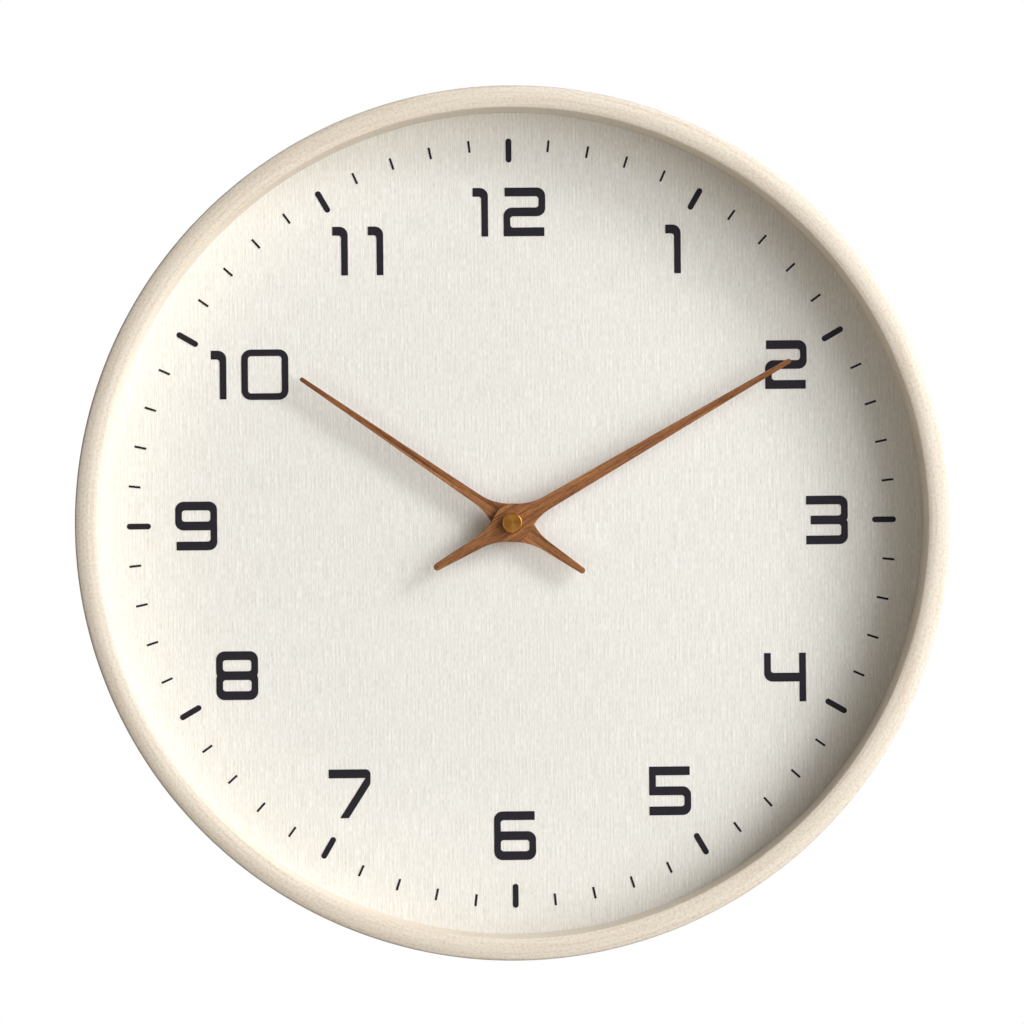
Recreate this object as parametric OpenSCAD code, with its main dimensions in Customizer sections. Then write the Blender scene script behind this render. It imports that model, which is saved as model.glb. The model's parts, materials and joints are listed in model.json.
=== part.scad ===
// Wall clock: a round bent-wood frame around a recessed printed dial, two wooden hands and a
// battery quartz movement with its going train, motion works, motor coil and setting knob.
// The dial faces -Y and +Z points to 12 o'clock. The origin is on the hands' axis in the wall
// plane. Each node is drawn in a face frame, with X to the right, Y up and Z towards the viewer.

/* [Frame] */
// Outer diameter of the wooden ring
frame_d = 300; // [290:1:330]
// Thickness of the ring's wall
frame_wall = 7.5; // [6:0.5:10]
// Radius of the crowned front edge
crown_r = 9.3; // [6:0.1:20]
// Radius of the front edge's outer corner
outer_corner_r = 1; // [0.5:0.1:2]
// Radius of the front edge's inner corner
inner_corner_r = 0.5; // [0.3:0.1:2]
// Depth of the ring, from the wall to its front edge
frame_depth = 44; // [42:1:50]
// Depth of the step that the dial board is pushed against
rebate = 2; // [1:0.5:3]

/* [Dial] */
// Height of the dial's surface above the wall
dial_z = 22.5; // [22.5:0.1:24]
// Thickness of the dial board
board_t = 3; // [2:0.1:3]
// Thickness of the textured sheet on the board
sheet_t = 0.3; // [0.2:0.1:0.5]
// Thickness of the printed ink
ink_t = 0.12; // [0.08:0.02:0.2]
// Radius at which all the minute and hour marks end
mark_r = 133.5; // [120:0.1:136]
// Length of an hour mark
hour_mark_l = 8.3; // [6:0.1:10]
// Width of an hour mark
hour_mark_w = 2; // [1:0.1:3]
// Length of a minute mark
minute_mark_l = 4.1; // [2:0.1:6]
// Width of a minute mark
minute_mark_w = 0.75; // [0.4:0.05:1]

/* [Numerals] */
// Height of a numeral
digit_h = 16.9; // [14:0.1:18]
// Width of a numeral
digit_w = 14.5; // [12:0.1:16]
// Width of the numeral one
one_w = 5.3; // [4:0.1:7]
// Width of the numeral nought
nought_w = 16.3; // [14:0.1:18]
// How far the nought stands above and below the others
nought_over = 0.3; // [0:0.1:0.5]
// Width of an upright stroke
upright = 2.3; // [1.5:0.1:3]
// Width of a level stroke
level = 3.05; // [2:0.05:3.5]
// Radius of a numeral's outer corners
corner_out = 2.9; // [2:0.1:3.5]
// Radius of a numeral's inner corners
corner_in = 1; // [0.5:0.1:1.2]

/* [Hands] */
// Length of the minute hand from its axis to its tip
minute_l = 111.5; // [90:0.5:115]
// Length of the minute hand's tail
minute_tail = 31.4; // [20:0.2:34]
// Length of the hour hand from its axis to its tip
hour_l = 88.8; // [60:0.2:92]
// Length of the hour hand's tail
hour_tail = 30.3; // [20:0.1:34]
// Radius of each hand's hub
hub_r = 6.7; // [6.5:0.1:8]
// Radius of the hollow curves from the hub into the arms
blend_r = 18.5; // [8:0.5:20]
// Thickness of a hand
hand_t = 1.5; // [1:0.1:1.6]
// Where the minute hand points, in degrees clockwise from 12
minute_at = 60.2; // [0:0.1:359.9]
// Where the hour hand points, in degrees clockwise from 12
hour_at = 304.8; // [0:0.1:359.9]

/* [Movement] */
// Width and height of the movement's case
case_w = 56; // [56:0.1:57]
// Thickness of the case's side walls
case_wall = 1.4; // [1.2:0.1:1.4]
// Diameter of the AA cell
cell_d = 14.4; // [14:0.1:14.5]
// Radial clearance of a pivot in its bearing
running = 0.05; // [0.03:0.01:0.08]

/* [Hanger] */
// Radius of the hole that the wall screw's head goes through
key_r = 4.5; // [4:0.1:5]
// Radius of the slot that the wall screw's shank sits in
slot_r = 2.2; // [2:0.1:2.5]
// Height of the round hole above the hands' axis
key_y = 36; // [35:1:38]
// Height of the slot's top end above the hands' axis
slot_y = 45; // [43:1:47]

/* [Hidden] */

// Fine enough that every round surface is exact
$fn = 96;
frame_r = frame_d / 2;
// Clearance between separate pieces, overlap of joined solids, and how far cuts run past a face
gap = 0.1;
lap = 0.1;
cut = 1;
opening_r = frame_r - frame_wall;
board_play = 0.2;
board_r = opening_r + rebate - board_play;
back_z = dial_z - sheet_t - board_t;
block_count = 8;
hours = 12;
minutes = 60;

// Numeral, distance from the hands' axis, and direction clockwise from 12
PLACES = [["1", 110.5, 31], ["2", 110, 60.5], ["3", 109.5, 90], ["4", 109, 120],
          ["5", 108, 150], ["6", 108.5, 180], ["7", 109.5, 211.5], ["8", 109, 241.5],
          ["9", 109.5, 270], ["10", 104.5, 300], ["11", 108.5, 331], ["12", 108, 360]];
bar_inset = 0.4;
three_inset = 1.6;
seven_foot = 3.85;
seven_foot_w = 3.05;
seven_lean = 0.643;
seven_corner = 1.7;
nought_softer_in = 0.1;
nought_softer_out = 0.4;
gap_ten = 5.2;
gap_eleven = 7;
gap_twelve = 5.4;
bar_low = (digit_h - level) / 2;
bar_high = (digit_h + level) / 2;
corner_steps = 8;
crown_steps = 16;

// Heights above the wall, from the wall outwards
case_z0 = 1.5;
back_t = 1.2;
inner_z0 = case_z0 + back_t;
inner_z1 = 16.1;
case_z1 = 17.4;
hanger_t = 1;
hanger_z = back_z - hanger_t;
plate_z0 = 9.6;
plate_z1 = 10.6;
boss_z = 3.1;
pivot_z0 = 2.1;
pivot_z1 = plate_z1 - 2 * gap;
front_boss_z = 15;
front_pivot_z = 15.9;
seconds_z1 = dial_z - 3;
washer_t = 0.5;
nut_t = 2;
bushing_proud = 0.5;
collet_flange = 0.4;
hour_hand_gap = 0.9;
minute_hand_gap = 1.4;
nut_z0 = dial_z + washer_t;
nut_z1 = nut_z0 + nut_t;
bushing_z1 = nut_z1 + bushing_proud;
hour_z0 = bushing_z1 + hour_hand_gap;
hour_z1 = hour_z0 + hand_t;
minute_z0 = hour_z1 + minute_hand_gap;
minute_z1 = minute_z0 + hand_t;
cap_h = 3;
cap_r = 3.5;

// Heights above the wall between which each wheel's and pinion's teeth lie
ROTOR_TEETH = [4.4, 5.9];
FIFTH_PINION_TEETH = [3.2, 4.7];
FIFTH_TEETH = [4.6, 5.3];
SECONDS_TEETH = [3.4, 4.1];
SECONDS_PINION_TEETH = [4, 5.9];
THIRD_TEETH = [5, 5.7];
THIRD_PINION_TEETH = [5.6, 7.8];
CENTRE_TEETH = [6.6, 7.4];
CANNON_TEETH = [11, 13];
MINUTE_TEETH = [11.3, 12.1];
MINUTE_PINION_TEETH = [12, 14.4];
HOUR_TEETH = [13.3, 14.1];
SETTING_TEETH = [11, 12.6];

// Case outline: the hands' axis is nearer its top, and the cell lies along its bottom
case_x = case_w / 2;
case_top = 22.8;
case_bottom = case_top - case_w;
case_corner = 3;
bay_w = 15;
divider_t = 1.2;
bay_y0 = case_bottom + case_wall;
bay_y1 = bay_y0 + bay_w;
gear_y0 = bay_y1 + divider_t;
inner_x = case_x - case_wall;
bay_z1 = 16.4;
cell_z = 8.85;
cell_y = (bay_y0 + bay_y1) / 2;
cell_x0 = -24.3;
cell_x1 = 24.8;
cell_rim = 0.3;
cap_rim = 0.2;
cap_len = 1.35;
cap_button_r = 2.75;
pillar_r = 1.5;
PILLARS = [[-24.3, 19], [-24.3, -13], [23.8, -12.6], [24.6, 3]];

// Gears: addendum, dedendum and half widths of a tooth's root and tip, as parts of the pitch
addendum = 0.9;
dedendum = 1.25;
root_half = 0.32;
tip_half = 0.1;
module_sec = 0.35;
module_rotor = 0.3;
module_cannon = 0.5;
module_hour = 0.48;
rotor_n = 12;
fifth_n = 60;
fifth_pinion_n = 10;
seconds_n = 60;
seconds_pinion_n = 8;
third_n = 60;
third_pinion_n = 8;
centre_n = 64;
cannon_n = 12;
minute_n = 36;
minute_pinion_n = 10;
hour_n = 40;
setting_n = 12;
third_cd = module_sec * (seconds_pinion_n + third_n) / 2;
module_centre = 2 * third_cd / (third_pinion_n + centre_n);
fifth_cd = module_sec * (fifth_pinion_n + seconds_n) / 2;
rotor_cd = module_rotor * (rotor_n + fifth_n) / 2;
minute_cd = module_cannon * (cannon_n + minute_n) / 2;

// Directions of the lines of centres, in degrees anticlockwise from the right
to_third = 125;
to_fifth = -20;
fifth_to_rotor = 60;
to_minute = 200;
minute_to_setting = 150;
THIRD = polar(third_cd, to_third);
FIFTH = polar(fifth_cd, to_fifth);
ROTOR = FIFTH + polar(rotor_cd, fifth_to_rotor);
MINUTE = polar(minute_cd, to_minute);
SETTING = MINUTE + polar(minute_cd, minute_to_setting);

// Each wheel's first tooth is turned so that it meshes with the pinion that drives it
fifth_turn = meshed(rotor_n, 0, fifth_n, fifth_to_rotor + 180);
seconds_turn = meshed(fifth_pinion_n, 0, seconds_n, to_fifth + 180);
third_turn = meshed(seconds_pinion_n, 0, third_n, to_third);
centre_turn = meshed(third_pinion_n, 0, centre_n, to_third + 180);
minute_turn = meshed(cannon_n, 0, minute_n, to_minute);
hour_turn = meshed(minute_pinion_n, 0, hour_n, to_minute + 180);
setting_turn = meshed(minute_n, minute_turn, setting_n, minute_to_setting);

pivot_r = 0.5;
boss_r = 1.6;
hub_gear_r = 1.2;
minute_r = 1.75;
hour_tube_r = 2.75;
bushing_r = 4;
stem_r = 1.3;
flange_r = 2.3;
flat_half = 1.3;
stub_r = 1.6;
thread_r = 1.5;
collet_r = 3.4;
hour_flange_r = 4.6;
minute_flange_r = 3.6;
knob_r = 4.5;
knob_z0 = 0.4;
knob_z1 = 1.9;
knob_sunk = 0.4;
magnet_r = 3;
magnet_z0 = 6.3;
magnet_z1 = 9.2;
stator_gap = 0.6;
stator_z = 7.7;
metal_t = 1;
coil_y = 17;
coil_z = stator_z + 1.5 * metal_t;
coil_x0 = 6;
coil_x1 = 21;
core_x0 = 2.5;
core_x1 = 24.5;
core_w = 3.2;
coil_r = 3.2;
spool_half_w = 2.2;
spool_half_h = 1.2;
flange_t = 1;
board_z = 11;
pcb_t = 0.8;
pcb_x = 13.8;
pcb_y = 11.6;
strip_z0 = 12;
strip_z1 = 13.4;
contact_z0 = 3.5;
contact_z1 = 14;
strip_t = 0.4;

// ---- Small helpers ----

// Point at a distance and an angle, anticlockwise from the right
function polar(r, a) = [r * cos(a), r * sin(a)];

// Point on the dial at a distance and an angle clockwise from 12
function dial_point(r, a) = [r * sin(a), r * cos(a)];

// Points along an arc about a centre
function arc(centre, r, from, to, steps) =
    [for (i = [0:steps]) centre + polar(r, from + (to - from) * i / steps)];

function unit(v) = v / norm(v);
function flat_of(p) = [p[0], p[1]];
function bearing(p) = atan2(p[1], p[0]);
function short_way(a) = (a + 540) % 360 - 180;

// One corner b of an outline a-b-c, rounded to radius r
function round_corner(a, b, c, r) =
    r == 0 ? [b]
    : let (
        back = unit(a - b),
        ahead = unit(c - b),
        half = acos(back * ahead) / 2,
        centre = b + unit(back + ahead) * r / sin(half),
        from = bearing(b + back * r / tan(half) - centre),
        to = bearing(b + ahead * r / tan(half) - centre)
      )
      arc(centre, r, from, from + short_way(to - from), corner_steps);

// Outline from corners [x, y, radius]
function outline(corners) =
    let (n = len(corners))
    [for (i = [0:n - 1])
        each round_corner(flat_of(corners[(i + n - 1) % n]), flat_of(corners[i]),
                          flat_of(corners[(i + 1) % n]), corners[i][2])];

// Turn of the driven gear's first tooth, for a driver turned by turn1 and a line of centres
function meshed(n1, turn1, n2, line) = line + 180 + 180 / n2 - (turn1 - line) * n1 / n2;

// Outline of a gear whose first tooth points at turn
function gear_outline(n, m, turn) =
    let (root = m * (n / 2 - dedendum), tip = m * (n / 2 + addendum), pitch = 360 / n)
    [for (i = [0:n - 1])
        let (a = turn + i * pitch)
        each [polar(root, a - root_half * pitch), polar(tip, a - tip_half * pitch),
              polar(tip, a + tip_half * pitch), polar(root, a + root_half * pitch)]];

// Stand a face-frame drawing up against the wall
module upright_on_wall() { rotate([90, 0, 0]) children(); }

// Extrude between two heights above the wall
module between(z0, z1) { translate([0, 0, z0]) linear_extrude(z1 - z0) children(); }

module disc(at, r, z0, z1) { translate([at[0], at[1], z0]) cylinder(r = r, h = z1 - z0); }

module tube(at, r, bore, z0, z1) {
    difference() {
        disc(at, r, z0, z1);
        disc(at, bore, z0 - cut, z1 + cut);
    }
}

module block(low, high) { translate(low) cube(high - low); }

// Gear with its teeth between a pair of heights
module gear(at, n, m, turn, teeth) {
    translate(at) between(teeth[0], teeth[1]) polygon(gear_outline(n, m, turn));
}

module rounded_box(low, high, r, z0, z1) {
    between(z0, z1) polygon(outline([[low[0], low[1], r], [high[0], low[1], r],
                                     [high[0], high[1], r], [low[0], high[1], r]]));
}

// Flat bar between two points
module bar(from, to, w, z0, z1) {
    translate([from[0], from[1], z0]) rotate([0, 0, bearing(to - from)])
        translate([0, -w / 2, 0]) cube([norm(to - from), w, z1 - z0]);
}

// ---- Frame and dial ----

// Direction, from the crown's centre, in which a corner of radius r runs into the crown
function corner_turn(r) = acos((frame_wall / 2 - r) / (crown_r - r));

// Section of the ring, with a crowned front edge that runs smoothly into its two corners
function ring_section() =
    let (
        centre = [opening_r + frame_wall / 2, frame_depth - crown_r],
        out = corner_turn(outer_corner_r),
        in = 180 - corner_turn(inner_corner_r)
    )
    concat(
        [[opening_r, 0], [frame_r, 0]],
        arc(centre + polar(crown_r - outer_corner_r, out), outer_corner_r, 0, out, corner_steps),
        [for (i = [1:crown_steps - 1]) centre + polar(crown_r, out + (in - out) * i / crown_steps)],
        arc(centre + polar(crown_r - inner_corner_r, in), inner_corner_r, in, 180, corner_steps));

// Ring with a step inside for the dial board
module wood_frame() {
    upright_on_wall() color("wheat") difference() {
        rotate_extrude() polygon(ring_section());
        disc([0, 0], opening_r + rebate, -cut, dial_z);
    }
}

module dial_board() {
    upright_on_wall() color("burlywood")
        tube([0, 0], board_r, bushing_r + gap, back_z, dial_z - sheet_t);
}

module dial_face() {
    upright_on_wall() color("whitesmoke")
        tube([0, 0], board_r, bushing_r + gap, dial_z - sheet_t, dial_z);
}

// Wooden blocks glued into the corner between the ring and the back of the board
module glue_blocks() {
    block_w = 22;
    block_h = 12;
    block_d = 9;
    inside = opening_r + rebate;
    upright_on_wall() color("tan") for (i = [0:block_count - 1]) {
        intersection() {
            disc([0, 0], inside, back_z - block_h, back_z);
            rotate([0, 0, (i + 0.5) * 360 / block_count])
                block([inside - block_d, -block_w / 2, 0], [inside + cut, block_w / 2, back_z]);
        }
    }
}

// ---- Print on the dial ----

module ink() { upright_on_wall() color("midnightblue") between(dial_z, dial_z + ink_t) children(); }

module hour_marks() {
    end_r = hour_mark_w / 2;
    ink() for (i = [0:hours - 1]) rotate(-i * 360 / hours) {
        translate([0, mark_r - end_r]) circle(r = end_r);
        translate([0, mark_r - hour_mark_l + end_r]) circle(r = end_r);
        translate([-end_r, mark_r - hour_mark_l + end_r])
            square([hour_mark_w, hour_mark_l - hour_mark_w]);
    }
}

module minute_marks() {
    per_hour = minutes / hours;
    ink() for (i = [0:minutes - 1]) if (i % per_hour != 0) rotate(-i * 360 / minutes)
        translate([-minute_mark_w / 2, mark_r - minute_mark_l])
            square([minute_mark_w, minute_mark_l]);
}

// Numerals, each drawn from its lower left corner
module digit_1() {
    polygon(outline([[0, digit_h, 0], [one_w, digit_h, corner_out], [one_w, 0, 0],
                     [one_w - upright, 0, 0],
                     [one_w - upright, digit_h - level, corner_in], [0, digit_h - level, 0]]));
}

module digit_2() {
    polygon(outline([[bar_inset, digit_h, 0], [digit_w, digit_h, corner_out],
                     [digit_w, bar_low, corner_out], [upright, bar_low, corner_in],
                     [upright, level, corner_in], [digit_w - bar_inset, level, 0],
                     [digit_w - bar_inset, 0, 0], [0, 0, 0], [0, bar_high, corner_out],
                     [digit_w - upright, bar_high, corner_in],
                     [digit_w - upright, digit_h - level, corner_in],
                     [bar_inset, digit_h - level, 0]]));
}

// Notch in the numeral three, where the round ends of its two bowls meet
function waist() =
    let (turn = asin(level / 2 / corner_out), x = digit_w - corner_out)
    concat(arc([x, bar_low + corner_out], corner_out, 0, -turn, corner_steps / 2),
           arc([x, bar_high - corner_out], corner_out, turn * 3 / 4, 0, corner_steps / 2));

module digit_3() {
    polygon(outline(concat(
        [[0, digit_h, 0], [digit_w, digit_h, corner_out]],
        [for (p = waist()) [p[0], p[1], 0]],
        [[digit_w, 0, corner_out], [0, 0, 0], [0, level, 0],
         [digit_w - upright, level, corner_in], [digit_w - upright, bar_low, corner_in],
         [three_inset, bar_low, 0], [three_inset, bar_high, 0],
         [digit_w - upright, bar_high, corner_in],
         [digit_w - upright, digit_h - level, corner_in], [0, digit_h - level, 0]])));
}

module digit_4() {
    polygon(outline([[0, digit_h, 0], [upright, digit_h, 0], [upright, bar_high, corner_in],
                     [digit_w - upright, bar_high, 0], [digit_w - upright, digit_h, 0],
                     [digit_w, digit_h, 0], [digit_w, 0, 0], [digit_w - upright, 0, 0],
                     [digit_w - upright, bar_low, 0], [0, bar_low, corner_out]]));
}

module digit_5() {
    polygon(outline([[0, digit_h, 0], [digit_w - bar_inset, digit_h, 0],
                     [digit_w - bar_inset, digit_h - level, 0], [upright, digit_h - level, 0],
                     [upright, bar_high, 0], [digit_w, bar_high, corner_out],
                     [digit_w, 0, corner_out], [0, 0, 0], [0, level, 0],
                     [digit_w - upright, level, corner_in],
                     [digit_w - upright, bar_low, corner_in], [0, bar_low, 0]]));
}

module digit_6() {
    difference() {
        polygon(outline([[digit_w - bar_inset, digit_h, 0],
                         [digit_w - bar_inset, digit_h - level, 0],
                         [upright, digit_h - level, corner_in], [upright, bar_high, 0],
                         [digit_w, bar_high, corner_out], [digit_w, 0, corner_out],
                         [0, 0, corner_out], [0, digit_h, corner_out]]));
        polygon(outline([[upright, level, corner_in], [digit_w - upright, level, corner_in],
                         [digit_w - upright, bar_low, corner_in],
                         [upright, bar_low, corner_in]]));
    }
}

module digit_7() {
    knee = (digit_w - seven_foot - seven_foot_w) / seven_lean;
    under = seven_foot + seven_lean * (digit_h - level);
    polygon(outline([[0, digit_h, 0], [digit_w, digit_h, seven_corner],
                     [digit_w, knee, corner_out], [seven_foot + seven_foot_w, 0, 0],
                     [seven_foot, 0, 0], [under, digit_h - level, 0],
                     [0, digit_h - level, 0]]));
}

module eight_bowl() {
    difference() {
        polygon(outline([[0, bar_low, corner_out], [digit_w, bar_low, corner_out],
                         [digit_w, digit_h, corner_out], [0, digit_h, corner_out]]));
        polygon(outline([[upright, bar_high, corner_in], [digit_w - upright, bar_high, corner_in],
                         [digit_w - upright, digit_h - level, corner_in],
                         [upright, digit_h - level, corner_in]]));
    }
}

module digit_8() {
    eight_bowl();
    translate([0, digit_h]) mirror([0, 1]) eight_bowl();
}

module digit_9() { translate([digit_w, digit_h]) rotate(180) digit_6(); }

module digit_0() {
    low = -nought_over;
    high = digit_h + nought_over;
    in = corner_in + nought_softer_in;
    out = corner_out + nought_softer_out;
    difference() {
        polygon(outline([[0, low, out], [nought_w, low, out], [nought_w, high, out],
                         [0, high, out]]));
        polygon(outline([[upright, low + upright, in], [nought_w - upright, low + upright, in],
                         [nought_w - upright, high - upright, in],
                         [upright, high - upright, in]]));
    }
}

// A numeral of one or two digits, centred on its place
module pair(gap_w, second_w) {
    translate([-(one_w + gap_w + second_w) / 2, -digit_h / 2]) {
        digit_1();
        translate([one_w + gap_w, 0]) children();
    }
}

module numeral(name) {
    if (name == "10") pair(gap_ten, nought_w) digit_0();
    else if (name == "11") pair(gap_eleven, one_w) digit_1();
    else if (name == "12") pair(gap_twelve, digit_w) digit_2();
    else translate([name == "1" ? -one_w / 2 : -digit_w / 2, -digit_h / 2]) {
        if (name == "1") digit_1();
        if (name == "2") digit_2();
        if (name == "3") digit_3();
        if (name == "4") digit_4();
        if (name == "5") digit_5();
        if (name == "6") digit_6();
        if (name == "7") digit_7();
        if (name == "8") digit_8();
        if (name == "9") digit_9();
    }
}

module numerals() {
    ink() for (place = PLACES) translate(dial_point(place[1], place[2])) numeral(place[0]);
}

// ---- Hands ----

// One side of an arm along +X, from its round tip to where it meets the hub. The arm tapers
// along the line that touches a circle of root_half at the axis and one of tip_r at the tip.
function arm_side(length, root_r, tip_r) =
    let (
        slope = asin((root_r - tip_r) / (length - tip_r)),
        out = polar(1, 90 - slope),
        along = polar(1, -slope),
        reach = sqrt(pow(hub_r + blend_r, 2) - pow(root_r + blend_r, 2)),
        centre = out * (root_r + blend_r) + along * reach
    )
    concat(arc([length - tip_r, 0], tip_r, 0, 90 - slope, corner_steps),
           arc(centre, blend_r, -90 - slope, bearing(centre) - 180, 2 * corner_steps));

function backwards(points) = [for (i = [len(points) - 1:-1:0]) points[i]];
function across(points, x, y) = [for (p = points) [p[0] * x, p[1] * y]];

// Outline of a hand with its arm along +X, its tail along -X and a round hub between them
function hand_outline(arm, tail) =
    let (
        a = arm_side(arm[0], arm[1], arm[2]),
        t = across(arm_side(tail[0], tail[1], tail[2]), -1, 1),
        from = bearing(a[len(a) - 1]),
        to = bearing(t[len(t) - 1]),
        hub = arc([0, 0], hub_r, from, to, corner_steps),
        top = concat(a, [for (i = [1:corner_steps - 1]) hub[i]], backwards(t))
    )
    concat(top, backwards([for (i = [1:len(top) - 2]) [top[i][0], -top[i][1]]]));

// Length, half width at the axis and radius of the end, for each arm and tail
minute_arm = [minute_l, 2.6, 0.85];
minute_tail_arm = [minute_tail, 2.8, 1.25];
hour_arm = [hour_l, 1.95, 0.75];
hour_tail_arm = [hour_tail, 2.5, 1.05];

hour_bore_r = collet_r;
minute_bore_r = collet_r - 1;

module hand(arm, tail, at, bore, z0) {
    upright_on_wall() color("saddlebrown") difference() {
        rotate([0, 0, 90 - at]) between(z0, z0 + hand_t) polygon(hand_outline(arm, tail));
        disc([0, 0], bore, z0 - cut, z0 + hand_t + cut);
    }
}

module hour_hand() { hand(hour_arm, hour_tail_arm, hour_at, hour_bore_r, hour_z0); }

module minute_hand() { hand(minute_arm, minute_tail_arm, minute_at, minute_bore_r, minute_z0); }

// Brass collet, with a flange behind the hand and a sleeve through it
module hour_collet() {
    upright_on_wall() color("goldenrod") {
        tube([0, 0], hour_flange_r, hour_tube_r, hour_z0 - collet_flange, hour_z0);
        tube([0, 0], hour_bore_r, hour_tube_r, hour_z0 - lap, hour_z1);
    }
}

// Two flats on the arbor turn the minute hand's collet
module flatted(r) {
    intersection() {
        circle(r = r);
        square([2 * r, 2 * flat_half], center = true);
    }
}

module minute_collet() {
    upright_on_wall() color("goldenrod") difference() {
        union() {
            disc([0, 0], minute_flange_r, minute_z0 - collet_flange, minute_z0);
            disc([0, 0], minute_bore_r, minute_z0 - lap, minute_z1);
        }
        rotate([0, 0, 90 - minute_at]) between(minute_z0 - cut, minute_z1 + cut) flatted(stub_r);
    }
}

module cap_nut() {
    edge = 0.45;
    top_t = 1.2;
    upright_on_wall() color("gold") difference() {
        translate([0, 0, minute_z1]) rotate_extrude()
            polygon([[0, 0], [cap_r, 0], [cap_r, cap_h - edge], [cap_r - edge, cap_h],
                     [0, cap_h]]);
        disc([0, 0], thread_r, minute_z1 - cut, minute_z1 + cap_h - top_t);
    }
}

// ---- Fixings through the dial ----

// Steel plate clamped behind the dial board, stepped back to the wall, with a keyhole
module wall_hanger() {
    tab_w = 26;
    foot_w = 18;
    tab_z = 2.6;
    foot_y = -9;
    step_y = 24.6;
    tab_y = slot_y + 7;
    upright_on_wall() color("silver") difference() {
        union() {
            block([-foot_w / 2, foot_y, hanger_z], [foot_w / 2, step_y + hanger_t, back_z]);
            block([-foot_w / 2, step_y, tab_z], [foot_w / 2, step_y + hanger_t, back_z]);
            block([-tab_w / 2, step_y, tab_z], [tab_w / 2, tab_y, tab_z + hanger_t]);
        }
        disc([0, 0], bushing_r + gap, hanger_z - cut, back_z + cut);
        disc([0, key_y], key_r, tab_z - cut, tab_z + hanger_t + cut);
        disc([0, slot_y], slot_r, tab_z - cut, tab_z + hanger_t + cut);
        block([-slot_r, key_y, tab_z - cut], [slot_r, slot_y, tab_z + hanger_t + cut]);
    }
}

module rubber_washer() {
    washer_r = 9;
    upright_on_wall() color("black") tube([0, 0], washer_r, bushing_r + gap, case_z1, hanger_z);
}

// Brass bushing, with a flange inside the case and a bearing bore for the hour tube
module threaded_bushing() {
    head_r = 5.5;
    upright_on_wall() color("goldenrod") {
        tube([0, 0], head_r, hour_tube_r + running, front_boss_z + gap, inner_z1);
        tube([0, 0], bushing_r, hour_tube_r + running, inner_z1 - lap, bushing_z1);
    }
}

module dial_washer() {
    washer_r = 6.2;
    upright_on_wall() color("goldenrod") tube([0, 0], washer_r, bushing_r + gap, dial_z, nut_z0);
}

// Round nut with notches for a spanner
module shaft_nut() {
    nut_r = 5.9;
    notches = 6;
    notch_d = 0.7;
    notch_half = 0.6;
    upright_on_wall() color("goldenrod") difference() {
        tube([0, 0], nut_r, bushing_r, nut_z0, nut_z1);
        for (i = [0:notches - 1]) rotate([0, 0, i * 360 / notches])
            block([nut_r - notch_d, -notch_half, nut_z0 - cut],
                  [nut_r + cut, notch_half, nut_z1 + cut]);
    }
}

// ---- Movement case ----

// Front shell: the gear chamber and, below it, the open bay for the cell
module case_front() {
    slot_w = 0.5;
    slot_z0 = strip_z0 - 2 * gap;
    slot_z1 = strip_z1 + 2 * gap;
    upright_on_wall() color("#2b2b2e") difference() {
        union() {
            difference() {
                union() {
                    rounded_box([-case_x, case_bottom], [case_x, case_top], case_corner,
                                inner_z0, case_z1);
                    intersection() {
                        rounded_box([-case_x, case_bottom], [case_x, case_top], case_corner,
                                    case_z0, case_z1);
                        block([-case_x, case_bottom, case_z0], [case_x, gear_y0, case_z1]);
                    }
                }
                block([-inner_x, gear_y0, 0], [inner_x, case_top - case_wall, inner_z1]);
                block([-inner_x, bay_y0, 0], [inner_x, bay_y1, bay_z1]);
            }
            for (p = PILLARS) disc(p, pillar_r, plate_z1, inner_z1 + lap);
            disc(MINUTE, boss_r, front_boss_z, inner_z1 + lap);
            disc(SETTING, boss_r, front_boss_z, inner_z1 + lap);
        }
        disc([0, 0], bushing_r, inner_z1 - cut, case_z1 + cut);
        disc(MINUTE, pivot_r + running, front_boss_z - cut, front_pivot_z + gap);
        disc(SETTING, pivot_r + running, front_boss_z - cut, front_pivot_z + gap);
        // Slots that lead the two contact strips out of the bay
        block([inner_x - slot_w, bay_y1 - cut, slot_z0], [inner_x, gear_y0 + cut, slot_z1]);
        block([-inner_x, bay_y1 - cut, slot_z0], [slot_w - inner_x, gear_y0 + cut, slot_z1]);
    }
}

// Back cover over the gear chamber, with the rear bearings and a well for the knob
module case_back() {
    well_play = 0.5;
    well_d = 0.6;
    bosses = [[0, 0], THIRD, FIFTH, ROTOR];
    upright_on_wall() color("#2b2b2e") difference() {
        union() {
            intersection() {
                rounded_box([-case_x, case_bottom], [case_x, case_top], case_corner,
                            case_z0, inner_z0);
                block([-case_x, gear_y0 + gap, case_z0], [case_x, case_top, inner_z0]);
            }
            for (p = bosses) disc(p, boss_r, inner_z0 - lap, boss_z);
            for (p = PILLARS) disc(p, pillar_r, inner_z0 - lap, plate_z0);
        }
        for (p = bosses) disc(p, pivot_r + running, pivot_z0 - gap, boss_z + cut);
        disc(SETTING, stem_r + running, case_z0 - cut, inner_z0 + cut);
        disc(SETTING, knob_r + well_play, case_z0 - cut, case_z0 + well_d);
    }
}

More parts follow.
